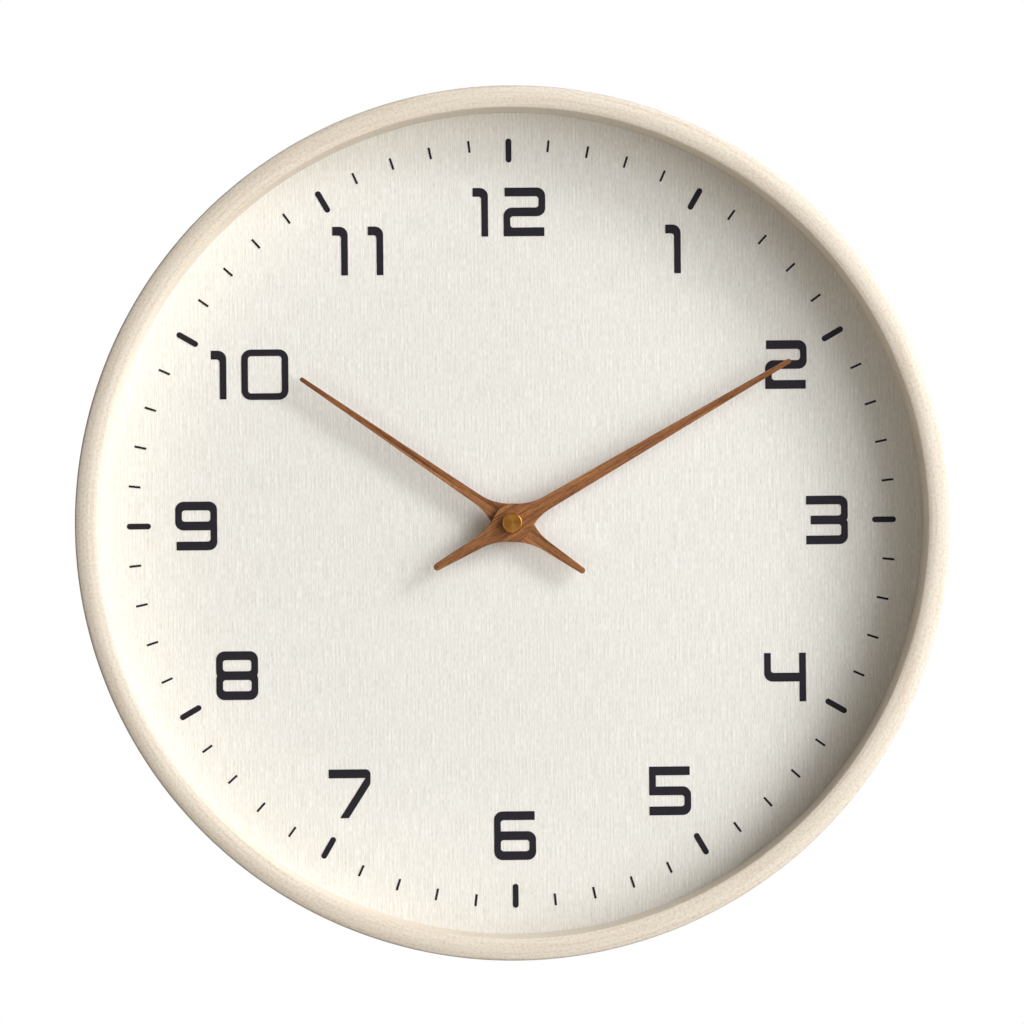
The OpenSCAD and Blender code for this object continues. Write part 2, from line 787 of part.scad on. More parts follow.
// Plate that carries the front pivots of the going train
module middle_plate() {
    step_y = 12.4;
    tongue_x = 1.4;
    post_r = 1;
    posts = [[17, -12.5], [17, 9]];
    pivots = [THIRD, FIFTH, ROTOR, MINUTE];
    upright_on_wall() color("ivory") difference() {
        union() {
            block([-inner_x + gap, gear_y0 + gap, plate_z0], [inner_x - gap, step_y, plate_z1]);
            block([-inner_x + gap, step_y - lap, plate_z0],
                  [tongue_x, case_top - case_wall - gap, plate_z1]);
            for (p = posts) disc(p, post_r, plate_z1 - lap, board_z);
        }
        for (p = pivots) disc(p, pivot_r + running, plate_z0 - cut, plate_z1 + cut);
        disc([0, 0], minute_r + running, plate_z0 - cut, plate_z1 + cut);
        disc(SETTING, stem_r + running, plate_z0 - cut, plate_z1 + cut);
    }
}

// ---- Stepping motor ----

// Core of the bobbin, that the wire is wound on
module spool() {
    block([coil_x0, coil_y - spool_half_w, coil_z - spool_half_h],
          [coil_x1, coil_y + spool_half_w, coil_z + spool_half_h]);
}

module coil_bobbin() {
    flange_over = 0.5;
    half = coil_r + flange_over;
    upright_on_wall() color("white") difference() {
        union() {
            spool();
            for (x = [coil_x0, coil_x1 - flange_t])
                block([x, coil_y - half, coil_z - half], [x + flange_t, coil_y + half, coil_z + half]);
        }
        block([0, coil_y - core_w / 2, stator_z + metal_t],
              [core_x1 + cut, coil_y + core_w / 2, stator_z + 2 * metal_t]);
    }
}

module coil_winding() {
    upright_on_wall() color("chocolate") difference() {
        translate([coil_x0 + flange_t, coil_y, coil_z]) rotate([0, 90, 0])
            cylinder(r = coil_r, h = coil_x1 - coil_x0 - 2 * flange_t);
        spool();
    }
}

module coil_core() {
    upright_on_wall() color("silver")
        block([core_x0, coil_y - core_w / 2, stator_z + metal_t],
              [core_x1, coil_y + core_w / 2, stator_z + 2 * metal_t]);
}

// Soft-iron plate round the rotor, with a leg past each flange to an end of the coil's core
module stator() {
    bore = magnet_r + stator_gap;
    z1 = stator_z + metal_t;
    elbow_y = 11.3;
    eye_wall = 2;
    corner_over = 0.15;
    corner = core_w / 2 + corner_over;
    upright_on_wall() color("silver") difference() {
        union() {
            disc(ROTOR, bore + eye_wall, stator_z, z1);
            for (x = [core_x0 + core_w / 2, core_x1 - core_w / 2]) {
                bar(ROTOR, [x, elbow_y], core_w, stator_z, z1);
                bar([x, elbow_y], [x, coil_y], core_w, stator_z, z1);
                disc([x, elbow_y], corner, stator_z, z1);
                disc([x, coil_y], corner, stator_z, z1);
            }
        }
        disc(ROTOR, bore, stator_z - cut, z1 + cut);
    }
}

module rotor_magnet() {
    upright_on_wall() color("dimgray") tube(ROTOR, magnet_r, hub_gear_r, magnet_z0, magnet_z1);
}

module rotor_pinion() {
    upright_on_wall() color("white") {
        disc(ROTOR, pivot_r, pivot_z0, pivot_z1);
        gear(ROTOR, rotor_n, module_rotor, 0, ROTOR_TEETH);
        disc(ROTOR, hub_gear_r, ROTOR_TEETH[1] - lap, magnet_z1);
    }
}

// ---- Going train, from the rotor to the centre wheel ----

module fifth_wheel() {
    hub_over = 0.9;
    upright_on_wall() color("white") {
        disc(FIFTH, pivot_r, pivot_z0, pivot_z1);
        disc(FIFTH, hub_gear_r, FIFTH_TEETH[0], FIFTH_TEETH[1] + hub_over);
        gear(FIFTH, fifth_pinion_n, module_sec, 0, FIFTH_PINION_TEETH);
        gear(FIFTH, fifth_n, module_rotor, fifth_turn, FIFTH_TEETH);
    }
}

module seconds_wheel() {
    upright_on_wall() color("white") {
        disc([0, 0], pivot_r, pivot_z0, seconds_z1);
        gear([0, 0], seconds_n, module_sec, seconds_turn, SECONDS_TEETH);
        gear([0, 0], seconds_pinion_n, module_sec, 0, SECONDS_PINION_TEETH);
    }
}

module third_wheel() {
    hub_under = 0.8;
    upright_on_wall() color("white") {
        disc(THIRD, pivot_r, pivot_z0, pivot_z1);
        disc(THIRD, hub_gear_r, THIRD_TEETH[0] - hub_under, THIRD_TEETH[0] + lap);
        gear(THIRD, third_n, module_sec, third_turn, THIRD_TEETH);
        gear(THIRD, third_pinion_n, module_centre, 0, THIRD_PINION_TEETH);
    }
}

// Sits on the minute arbor as a slipping clutch, so that the hands can be set
module centre_wheel() {
    clutch_play = 0.03;
    sleeve_r = flange_r + 0.4;
    sleeve_z1 = 8.8;
    upright_on_wall() color("white") difference() {
        union() {
            gear([0, 0], centre_n, module_centre, centre_turn, CENTRE_TEETH);
            disc([0, 0], sleeve_r, CENTRE_TEETH[1] - lap, sleeve_z1);
        }
        disc([0, 0], minute_r + clutch_play, CENTRE_TEETH[0] - cut, sleeve_z1 + cut);
    }
}

// ---- Motion works, from the minute arbor to the hour wheel ----

// Hollow arbor with the cannon pinion, two flats and a thread for the cap nut
module minute_arbor() {
    seat_z = 6.15;
    seat_t = 0.4;
    thread_short = 1.4;
    flats_below = 1;
    flats_z0 = minute_z0 - flats_below;
    upright_on_wall() color("gainsboro") difference() {
        union() {
            disc([0, 0], flange_r, seat_z, seat_z + seat_t);
            disc([0, 0], minute_r, seat_z, minute_z0 - collet_flange);
            gear([0, 0], cannon_n, module_cannon, 0, CANNON_TEETH);
            rotate([0, 0, 90 - minute_at]) between(flats_z0, minute_z1) flatted(stub_r);
            rotate([0, 0, 90 - minute_at])
                between(minute_z1 - lap, minute_z1 + cap_h - thread_short) flatted(thread_r);
        }
        disc([0, 0], pivot_r + running, seat_z - cut, seconds_z1 + 1);
    }
}

module minute_wheel() {
    upright_on_wall() color("white") {
        disc(MINUTE, pivot_r, plate_z0 + gap, front_pivot_z);
        disc(MINUTE, hub_gear_r, plate_z1 + gap, front_boss_z - 2 * gap);
        gear(MINUTE, minute_n, module_cannon, minute_turn, MINUTE_TEETH);
        gear(MINUTE, minute_pinion_n, module_hour, 0, MINUTE_PINION_TEETH);
    }
}

module hour_wheel() {
    upright_on_wall() color("white") difference() {
        union() {
            gear([0, 0], hour_n, module_hour, hour_turn, HOUR_TEETH);
            disc([0, 0], bushing_r, HOUR_TEETH[1] - lap, front_boss_z - gap);
            disc([0, 0], hour_tube_r, HOUR_TEETH[1] - lap, hour_z1);
        }
        disc([0, 0], minute_r + running, HOUR_TEETH[0] - cut, hour_z1 + cut);
    }
}

module setting_stem() {
    end_play = 0.4;
    shoulder_z = front_boss_z - end_play;
    upright_on_wall() color("white") {
        disc(SETTING, stem_r, knob_z0 + knob_sunk, shoulder_z);
        disc(SETTING, pivot_r, shoulder_z - lap, front_pivot_z);
        gear(SETTING, setting_n, module_cannon, setting_turn, SETTING_TEETH);
    }
}

// Knob with finger grooves round its edge
module setting_knob() {
    grooves = 18;
    groove_r = 0.4;
    groove_out = 0.15;
    groove_at = knob_r + groove_out;
    upright_on_wall() color("#3a3a3e") difference() {
        disc(SETTING, knob_r, knob_z0, knob_z1);
        disc(SETTING, stem_r, knob_z0 + knob_sunk, knob_z1 + cut);
        for (i = [0:grooves - 1])
            disc(SETTING + polar(groove_at, i * 360 / grooves), groove_r, knob_z0 - cut,
                 knob_z1 + cut);
    }
}

// ---- Electronics and cell ----

module circuit_board() {
    side_gap = 0.2;
    low_gap = 0.3;
    upright_on_wall() color("darkgreen") difference() {
        block([pcb_x, gear_y0 + low_gap, board_z], [inner_x - side_gap, pcb_y, board_z + pcb_t]);
        for (p = [PILLARS[2], PILLARS[3]])
            disc(p, pillar_r + gap, board_z - cut, board_z + pcb_t + cut);
    }
}

// Cap of a ball that is mostly below the board's surface
module chip_blob() {
    at = [19, -5];
    ball_r = 4;
    sunk = 2.7;
    top = board_z + pcb_t;
    upright_on_wall() color("black") intersection() {
        translate([at[0], at[1], top - sunk]) sphere(r = ball_r);
        disc(at, 2 * ball_r, top, top + ball_r);
    }
}

// Small can lying on the board, with two leads
module quartz_crystal() {
    at = [18, 1];
    can_r = 1;
    can_l = 6;
    lead_l = 1.6;
    lead_half = 0.15;
    lead_apart = 0.8;
    lead_h = 0.9;
    top = board_z + pcb_t;
    upright_on_wall() color("silver") {
        translate([at[0], at[1], top + can_r]) rotate([-90, 0, 0]) cylinder(r = can_r, h = can_l);
        for (x = [at[0] - lead_apart / 2, at[0] + lead_apart / 2])
            block([x - lead_half, at[1] - lead_l, top], [x + lead_half, at[1] + lap, top + lead_h]);
    }
}

// Strip at the cell's positive end, led to the circuit board
module positive_contact() {
    plate_y0 = bay_y0 + 3;
    plate_y1 = bay_y1 - 1;
    foot_y0 = gear_y0 + 0.4;
    foot_y1 = gear_y0 + 1.3;
    foot_l = 2.6;
    upright_on_wall() color("silver") {
        block([inner_x - strip_t, plate_y0, contact_z0], [inner_x, plate_y1, contact_z1]);
        block([inner_x - strip_t, plate_y1 - lap, strip_z0], [inner_x, foot_y1, strip_z1]);
        block([inner_x - foot_l, foot_y0, board_z + pcb_t], [inner_x, foot_y1, strip_z0 + lap]);
    }
}

// Sprung leaf at the negative end, led along the divider to the circuit board
module negative_contact() {
    x0 = -inner_x;
    plate_y0 = bay_y0 + 2;
    plate_y1 = bay_y1 - 1;
    run_y = gear_y0 + gap;
    run_x1 = 14.4;
    foot_x0 = 14;
    foot_x1 = 15.4;
    foot_y1 = gear_y0 + 1.2;
    leaf_z0 = 5;
    leaf_z1 = 12;
    leaf_half = 5;
    leaf_root = [0, 1.5];
    tip_half = [0, 0.6];
    tip_gap = 0.05;
    tip = [cell_x0 - tip_gap, cell_y];
    low = [x0 + strip_t, cell_y - leaf_half];
    high = [x0 + strip_t, cell_y + leaf_half];
    upright_on_wall() color("silver") {
        block([x0, plate_y0, contact_z0], [x0 + strip_t, plate_y1, contact_z1]);
        between(leaf_z0, leaf_z1) polygon([low, low - leaf_root, tip - tip_half, tip + tip_half,
                                           high + leaf_root, high, tip - [strip_t, 0]]);
        block([x0, plate_y1 - lap, strip_z0], [x0 + strip_t, run_y + strip_t, strip_z1]);
        block([x0, run_y, strip_z0], [run_x1, run_y + strip_t, strip_z1]);
        block([foot_x0, run_y, board_z + pcb_t], [foot_x1, foot_y1, strip_z0 + 3 * lap]);
    }
}

module along_cell(r, x0, x1) {
    translate([x0, cell_y, cell_z]) rotate([0, 90, 0]) cylinder(r = r, h = x1 - x0);
}

module cell_can() {
    base_inset = 1.5;
    upright_on_wall() color("#b5542a") {
        along_cell(cell_d / 2, cell_x0 + cell_rim, cell_x1);
        along_cell(cell_d / 2 - base_inset, cell_x0, cell_x0 + cell_rim + lap);
    }
}

module cell_cap() {
    cap_inset = 2;
    upright_on_wall() color("silver") {
        along_cell(cell_d / 2 - cap_inset, cell_x1, cell_x1 + cap_rim);
        along_cell(cap_button_r, cell_x1 + lap, cell_x1 + cap_len);
    }
}

wood_frame();
dial_board();
dial_face();
numerals();
hour_marks();
minute_marks();
glue_blocks();
wall_hanger();
rubber_washer();
threaded_bushing();
dial_washer();
shaft_nut();
case_front();
case_back();
middle_plate();
coil_bobbin();
coil_winding();
coil_core();
stator();
rotor_magnet();
rotor_pinion();
fifth_wheel();
seconds_wheel();
third_wheel();
centre_wheel();
minute_arbor();
minute_wheel();
hour_wheel();
setting_stem();
setting_knob();
circuit_board();
chip_blob();
quartz_crystal();
positive_contact();
negative_contact();
cell_can();
cell_cap();
hour_hand();
hour_collet();
minute_hand();
minute_collet();
cap_nut();
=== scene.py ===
"""Looks of a round wall clock: pale bent-wood ring, linen dial, walnut hands and a quartz movement.

The dial faces -Y, +Z points to 12 o'clock and the origin is on the hands' axis in the wall plane.
"""

import json
import math

import bmesh
import bpy
from mathutils import Matrix, Vector

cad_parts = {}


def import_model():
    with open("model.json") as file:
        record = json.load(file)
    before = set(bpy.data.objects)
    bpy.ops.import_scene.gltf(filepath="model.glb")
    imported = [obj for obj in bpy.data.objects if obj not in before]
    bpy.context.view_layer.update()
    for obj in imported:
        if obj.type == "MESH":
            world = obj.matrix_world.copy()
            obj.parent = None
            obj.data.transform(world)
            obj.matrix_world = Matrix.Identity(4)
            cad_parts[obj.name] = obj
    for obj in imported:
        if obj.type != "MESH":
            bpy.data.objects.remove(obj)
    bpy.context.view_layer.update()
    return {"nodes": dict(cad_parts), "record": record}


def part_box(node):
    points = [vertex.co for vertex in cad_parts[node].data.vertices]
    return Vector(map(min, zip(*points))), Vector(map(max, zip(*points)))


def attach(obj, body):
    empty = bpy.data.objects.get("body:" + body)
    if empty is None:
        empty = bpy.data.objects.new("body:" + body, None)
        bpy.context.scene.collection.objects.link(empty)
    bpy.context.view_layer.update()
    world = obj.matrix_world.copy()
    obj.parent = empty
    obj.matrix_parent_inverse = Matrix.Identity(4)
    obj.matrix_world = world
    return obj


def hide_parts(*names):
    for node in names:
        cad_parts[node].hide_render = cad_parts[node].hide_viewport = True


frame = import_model()
nodes = frame["nodes"]
body_of_node = {
    node: body for body, members in frame["record"]["behaviour"]["bodies"].items() for node in members
}
slot_of_node = {part["node"]: part["material_slot"] for part in frame["record"]["subparts"]}

MM = 0.001
FULL_TURN = 2 * math.pi
SAME_PLACE = 0.001 * MM


# ---- Materials ----
#
# Texture scales are about how many features there are per metre along X, Y and Z, or along and
# across the ring where a material uses its UV coordinates.


def linear(red, green, blue):
    """A screen colour, 0 to 255, as the linear colour that a shader takes."""

    def channel(value):
        value /= 255
        return value / 12.92 if value <= 0.04045 else ((value + 0.055) / 1.055) ** 2.4

    return (channel(red), channel(green), channel(blue), 1.0)


WHITE = linear(255, 255, 255)


def feed(tree, socket, value):
    """Links a socket of a node tree to another node's output, or sets its value."""
    if isinstance(value, bpy.types.NodeSocket):
        tree.links.new(value, socket)
    else:
        socket.default_value = value


class Look:
    """A Principled material, with short names for the nodes that feed it."""

    def __init__(self, name, **sockets):
        self.material = bpy.data.materials.new(name)
        self.material.use_nodes = True
        self.tree = self.material.node_tree
        self.shader = self.tree.nodes["Principled BSDF"]
        for socket, value in sockets.items():
            title = socket.replace("_", " ").title().replace("Ior", "IOR")
            self.shader.inputs[title].default_value = value

    def add(self, kind, inputs=(), **settings):
        """A new node, with its inputs fed and its settings made."""
        made = self.tree.nodes.new(kind)
        for setting, value in settings.items():
            setattr(made, setting, value)
        for socket, value in dict(inputs).items():
            feed(self.tree, made.inputs[socket], value)
        return made

    def place(self, scale=(1, 1, 1), turn=(0, 0, 0)):
        """The piece's own coordinates in metres, turned and then scaled."""
        source = self.add("ShaderNodeTexCoord").outputs["Object"]
        turned = self.add("ShaderNodeMapping", {"Vector": source, "Rotation": turn}).outputs["Vector"]
        return self.add("ShaderNodeMapping", {"Vector": turned, "Scale": scale}).outputs["Vector"]

    def uv(self, scale=(1, 1, 1)):
        """The piece's UV coordinates, which its mesh code writes in metres."""
        source = self.add("ShaderNodeTexCoord").outputs["UV"]
        return self.add("ShaderNodeMapping", {"Vector": source, "Scale": scale}).outputs["Vector"]

    def split(self, at):
        """The X, Y and Z outputs of a vector."""
        return self.add("ShaderNodeSeparateXYZ", {"Vector": at}).outputs

    def noise(self, at, scale=1.0, detail=4.0, roughness=0.5, distortion=0.0):
        """Cloudy noise from 0 to 1."""
        inputs = {"Vector": at, "Scale": scale, "Detail": detail}
        inputs.update({"Roughness": roughness, "Distortion": distortion})
        return self.add("ShaderNodeTexNoise", inputs).outputs["Fac"]

    def wave(self, at, scale):
        """Even bands across X."""
        inputs = {"Vector": at, "Scale": scale}
        return self.add("ShaderNodeTexWave", inputs, bands_direction="X").outputs["Fac"]

    def cells(self, at):
        """Distance to the nearest of many scattered points."""
        return self.add("ShaderNodeTexVoronoi", {"Vector": at, "Scale": 1.0}).outputs["Distance"]

    def ramp(self, value, *stops):
        """A colour ramp from (place, colour) stops."""
        made = self.add("ShaderNodeValToRGB", {"Fac": value})
        ends = made.color_ramp.elements
        while len(ends) < len(stops):
            ends.new(0.5)
        for end, (place, colour) in zip(ends, stops):
            end.position = place
            end.color = colour
        return made.outputs["Color"]

    def span(self, value, low, high):
        """A value from 0 to 1, spread from low to high."""
        inputs = {"Value": value, "To Min": low, "To Max": high}
        return self.add("ShaderNodeMapRange", inputs).outputs["Result"]

    def mix(self, amount, first, second, blend="MIX"):
        """Two colours mixed. A colour mix node has them at inputs 6 and 7 and its result at output 2."""
        made = self.add("ShaderNodeMix", data_type="RGBA", blend_type=blend)
        for place, value in ((0, amount), (6, first), (7, second)):
            feed(self.tree, made.inputs[place], value)
        return made.outputs[2]

    def maths(self, operation, *values):
        """The result of an operation on numbers."""
        made = self.add("ShaderNodeMath", operation=operation)
        for socket, value in zip(made.inputs, values):
            feed(self.tree, socket, value)
        return made.outputs["Value"]

    def bump(self, height, depth, strength=1.0):
        """Raises the surface by up to depth metres. Later calls lie on top of earlier ones."""
        inputs = {"Height": height, "Distance": depth, "Strength": strength}
        before = self.shader.inputs["Normal"].links
        if before:
            inputs["Normal"] = before[0].from_socket
        self.shade("Normal", self.add("ShaderNodeBump", inputs).outputs["Normal"])

    def shade(self, socket, value):
        """Feeds a socket of the Principled shader."""
        feed(self.tree, self.shader.inputs[socket], value)

    def colour(self, value):
        """Sets the surface's colour."""
        self.shade("Base Color", value)

    def dull(self, value):
        """Sets how rough the surface is, from 0 to 1."""
        self.shade("Roughness", value)


def frame_wood():
    """Pale beech bent into a ring: fine grain and short pores along the ring, under matt lacquer."""
    look = Look("frame_wood", specular_ior_level=0.3)
    streaks = look.noise(look.uv((26, 900, 1)), detail=6, roughness=0.6, distortion=0.4)
    bands = look.noise(look.uv((5, 160, 1)), detail=3)
    flecks = look.noise(look.uv((900, 1150, 1)), detail=2, roughness=0.6)
    pale = look.ramp(bands, (0.3, linear(229, 219, 205)), (0.7, linear(236, 228, 216)))
    grain = look.ramp(streaks, (0.34, linear(224, 208, 186)), (0.56, WHITE))
    specks = look.ramp(flecks, (0.3, linear(234, 227, 217)), (0.6, WHITE))
    shaded = look.mix(0.35, pale, grain, "MULTIPLY")
    look.colour(look.mix(0.8, shaded, specks, "MULTIPLY"))
    look.dull(look.span(streaks, 0.72, 0.6))
    look.bump(streaks, 0.04 * MM, 0.4)
    look.bump(flecks, 0.03 * MM, 0.3)
    return look


def dial_sheet():
    """Off-white linen-textured paper: threads up and down at an even pitch, and a fainter weft."""
    look = Look("dial_sheet", specular_ior_level=0.25)
    pitch = look.wave(look.place(), 229)
    threads = look.noise(look.place((3600, 1, 100)), detail=1)
    slubs = look.noise(look.place((3600, 1, 480)), detail=1)
    weft = look.noise(look.place((120, 1, 1500)), detail=2)
    clouds = look.noise(look.place((14, 14, 14)), detail=2)
    tint = look.ramp(clouds, (0.3, linear(248, 247, 243)), (0.7, linear(251, 250, 246)))
    lengthwise = look.ramp(threads, (0.3, linear(233, 232, 230)), (0.7, WHITE))
    knots = look.ramp(slubs, (0.3, linear(233, 232, 229)), (0.7, WHITE))
    even = look.ramp(pitch, (0.0, linear(250, 250, 249)), (1.0, WHITE))
    pitched = look.mix(0.9, tint, even, "MULTIPLY")
    woven = look.mix(0.8, pitched, lengthwise, "MULTIPLY")
    look.colour(look.mix(0.8, woven, knots, "MULTIPLY"))
    look.dull(look.span(slubs, 0.75, 0.9))
    look.bump(slubs, 0.03 * MM, 0.5)
    look.bump(threads, 0.03 * MM, 0.4)
    look.bump(pitch, 0.02 * MM, 0.3)
    look.bump(weft, 0.01 * MM, 0.3)
    return look


def ink():
    """Navy-black screen print that lets the sheet's threads show faintly."""
    look = Look("ink", specular_ior_level=0.18)
    threads = look.noise(look.place((2100, 1, 42)), detail=3, roughness=0.65)
    film = look.noise(look.place((700, 700, 700)), detail=2)
    tone = look.mix(film, linear(22, 19, 26), linear(31, 28, 35))
    look.colour(look.mix(look.span(threads, 0.0, 0.25), tone, linear(41, 37, 46)))
    look.dull(look.span(film, 0.5, 0.65))
    look.bump(threads, 0.03 * MM, 0.5)
    return look


def walnut(name, turn):
    """Oiled walnut, with its grain along a hand that a turn about +Y lays along +X."""
    look = Look(name, specular_ior_level=0.25)
    turned = (0, turn, 0)
    streaks = look.noise(look.place((45, 700, 2600), turned), detail=6, roughness=0.62, distortion=0.6)
    wide = look.noise(look.place((12, 120, 520), turned), detail=3, distortion=0.4)
    pores = look.noise(look.place((420, 3000, 7000), turned), detail=2)
    dark, middle, pale = linear(129, 79, 45), linear(154, 101, 60), linear(175, 119, 73)
    tone = look.ramp(wide, (0.3, dark), (0.5, middle), (0.72, pale))
    grain = look.ramp(streaks, (0.34, linear(112, 84, 66)), (0.56, WHITE))
    dots = look.ramp(pores, (0.34, linear(80, 54, 40)), (0.45, WHITE))
    shaded = look.mix(0.8, tone, grain, "MULTIPLY")
    look.colour(look.mix(0.75, shaded, dots, "MULTIPLY"))
    look.dull(look.span(streaks, 0.58, 0.42))
    look.bump(streaks, 0.03 * MM, 0.6)
    look.bump(pores, 0.02 * MM, 0.5)
    return look


def softwood(name, pale, dark):
    """Bare sawn wood with straight grain along X."""
    look = Look(name, specular_ior_level=0.2)
    rings = look.noise(look.place((18, 260, 260)), detail=5, roughness=0.6, distortion=0.5)
    fibres = look.noise(look.place((90, 1500, 1500)), detail=3)
    tone = look.ramp(rings, (0.35, dark), (0.62, pale))
    look.colour(look.mix(0.5, tone, look.span(fibres, 0.5, 1), "MULTIPLY"))
    look.dull(look.span(fibres, 0.9, 0.72))
    look.bump(fibres, 0.12 * MM, 0.6)
    return look


def fibreboard():
    """Brown board pressed from short fibres, with pale and dark flecks."""
    look = Look("board", specular_ior_level=0.2)
    flecks = look.noise(look.place((420, 420, 420)), detail=5, roughness=0.7, distortion=1.2)
    clouds = look.noise(look.place((30, 30, 30)), detail=3)
    base = look.ramp(clouds, (0.3, linear(150, 117, 82)), (0.7, linear(172, 138, 100)))
    specks = look.ramp(flecks, (0.36, linear(150, 128, 104)), (0.6, WHITE))
    look.colour(look.mix(0.7, base, specks, "MULTIPLY"))
    look.dull(look.span(flecks, 0.92, 0.78))
    look.bump(flecks, 0.12 * MM, 0.6)
    return look


def sheet_metal(name, colour, roughness):
    """Rolled or plated metal with fine lines along X and cloudy patches."""
    look = Look(name, metallic=1.0)
    lines = look.noise(look.place((40, 2400, 2400)), detail=3)
    patches = look.noise(look.place((160, 160, 160)), detail=4, roughness=0.6)
    darker = tuple(0.72 * channel for channel in colour[:3]) + (1.0,)
    look.colour(look.mix(look.span(patches, 0.0, 0.6), colour, darker))
    look.dull(look.span(look.mix(0.5, lines, patches), roughness * 0.7, roughness * 1.3))
    look.bump(lines, 0.01 * MM, 0.5)
    return look


def turned_brass(name, across):
    """Brass with the fine rings of a lathe tool about the hands' axis, seen on its faces."""
    look = Look(name, metallic=1.0, anisotropic=across)
    spot = look.split(look.place())
    squares = [look.maths("POWER", spot[axis], 2.0) for axis in ("X", "Z")]
    radius = look.maths("SQRT", look.maths("ADD", *squares))
    ring = look.add("ShaderNodeCombineXYZ", {"X": radius, "Y": spot["Y"]}).outputs["Vector"]
    cuts = look.noise(ring, scale=9000, detail=2)
    stains = look.noise(look.place((500, 500, 500)), detail=3)
    look.colour(look.mix(stains, linear(196, 138, 70), linear(166, 108, 48)))
    look.dull(look.span(cuts, 0.16, 0.32))
    look.bump(cuts, 0.008 * MM, 0.5)
    round_axis = look.add("ShaderNodeTangent", direction_type="RADIAL", axis="Y")
    look.shade("Tangent", round_axis.outputs["Tangent"])
    return look


def moulded(name, dark, pale, roughness, spark=0.02):
    """Moulded plastic with an even, fine spark-eroded texture and faint flow marks."""
    look = Look(name)
    grains = look.noise(look.place((2600, 2600, 2600)), detail=2)
    flow = look.noise(look.place((90, 60, 120)), detail=3, distortion=1.0)
    look.colour(look.mix(flow, dark, pale))
    look.dull(look.span(grains, roughness - 0.08, roughness + 0.1))
    look.bump(grains, spark * MM, 0.6)
    return look


def winding():
    """Enamelled copper wire, wound in turns along X."""
    look = Look("copper", metallic=1.0)
    turns = look.wave(look.place(), 1100)
    tone = look.noise(look.place((900, 200, 200)), detail=3)
    look.colour(look.mix(tone, linear(186, 92, 48), linear(214, 122, 70)))
    look.dull(look.span(tone, 0.25, 0.4))
    look.bump(turns, 0.05 * MM)
    return look


def circuit():
    """Green solder resist over faint copper tracks."""
    look = Look("pcb")
    on_board = look.place(turn=(math.pi / 2, 0, 0))
    layout = {"Vector": on_board, "Scale": 420.0, "Mortar Size": 0.03}
    tracks = look.add("ShaderNodeTexBrick", layout).outputs["Fac"]
    mottle = look.noise(look.place((600, 600, 600)), detail=3)
    board = look.mix(mottle, linear(20, 78, 48), linear(28, 96, 58))
    look.colour(look.mix(look.maths("MULTIPLY", tracks, 0.6), board, linear(70, 130, 70)))
    look.dull(look.span(mottle, 0.25, 0.4))
    look.bump(tracks, 0.02 * MM)
    return look


def cell_label():
    """Printed sleeve of a cell, dark with a copper-coloured band at its positive end, no text."""
    look = Look("cell_label", coat_weight=0.4, coat_roughness=0.15)
    low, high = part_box("cell_can")
    band = low.x * 0.35 + high.x * 0.65
    blur = 0.1 * MM
    edges = {"Value": look.split(look.place())["X"], "From Min": band - blur, "From Max": band + blur}
    ends = look.add("ShaderNodeMapRange", edges).outputs["Result"]
    flakes = look.cells(look.place((3200, 3200, 3200)))
    dark = look.mix(flakes, linear(30, 31, 36), linear(40, 41, 47))
    copper = look.mix(flakes, linear(196, 112, 58), linear(214, 134, 78))
    look.colour(look.mix(ends, dark, copper))
    look.shade("Metallic", look.span(ends, 0.1, 0.8))
    look.dull(look.span(flakes, 0.3, 0.42))
    return look


def heading(node):
    """Turn about +Y that lays a hand, whose point is farthest from the hands' axis, along +X."""
    far = max((v.co for v in nodes[node].data.vertices), key=lambda at: at.x**2 + at.z**2)
    return math.atan2(far.z, far.x)


# The finish of each material slot
LOOKS = {
    "frame_wood": frame_wood(),
    "board": fibreboard(),
    "dial_sheet": dial_sheet(),
    "ink": ink(),
    "block_wood": softwood("block_wood", linear(226, 200, 160), linear(196, 160, 112)),
    "steel": sheet_metal("steel", linear(196, 198, 202), 0.34),
    "rubber": moulded("rubber", linear(24, 24, 25), linear(34, 34, 35), 0.8, 0.04),
    "brass": turned_brass("brass", 0.6),
    "case_plastic": moulded("case_plastic", linear(36, 36, 38), linear(44, 44, 46), 0.5, 0.03),
    "plate_plastic": moulded("plate_plastic", linear(222, 216, 200), linear(232, 227, 213), 0.45),
    "gear_plastic": moulded("gear_plastic", linear(232, 231, 224), linear(241, 240, 234), 0.35),
    "knob_plastic": moulded("knob_plastic", linear(56, 56, 60), linear(66, 66, 70), 0.42),
    "copper": winding(),
    "iron": sheet_metal("iron", linear(150, 150, 152), 0.42),
    "magnet": sheet_metal("magnet", linear(92, 92, 96), 0.5),
    "pcb": circuit(),
    "epoxy": moulded("epoxy", linear(14, 14, 15), linear(22, 22, 23), 0.25, 0.01),
    "can_metal": sheet_metal("can_metal", linear(206, 207, 210), 0.28),
    "contact_metal": sheet_metal("contact_metal", linear(214, 210, 200), 0.24),
    "cell_label": cell_label(),
    "arbor_metal": sheet_metal("arbor_metal", linear(206, 206, 208), 0.26),
}
WALNUT = {node: walnut(f"walnut_{node}", heading(node)) for node in ("minute_hand", "hour_hand")}


def look_of(node):
    """A CAD node's finish. Both hands share a material slot, and each has its own grain direction."""
    return WALNUT[node] if node in WALNUT else LOOKS[slot_of_node[node]]


# ---- Pieces ----

# How finely round shapes are divided
EASE_STEPS = 4
CORNER_STEPS = 10
CROWN_STEPS = 24
RING_STEPS = 360
CAP_STEPS = 128
FLOOR_STEPS = 64

# In degrees: bends that count as flat, edges that stay sharp, and edges that get eased
FLAT_BEND = 1
SHARP_BEND = 35
CAP_SHARP_BEND = 50
EASED_BEND = 40


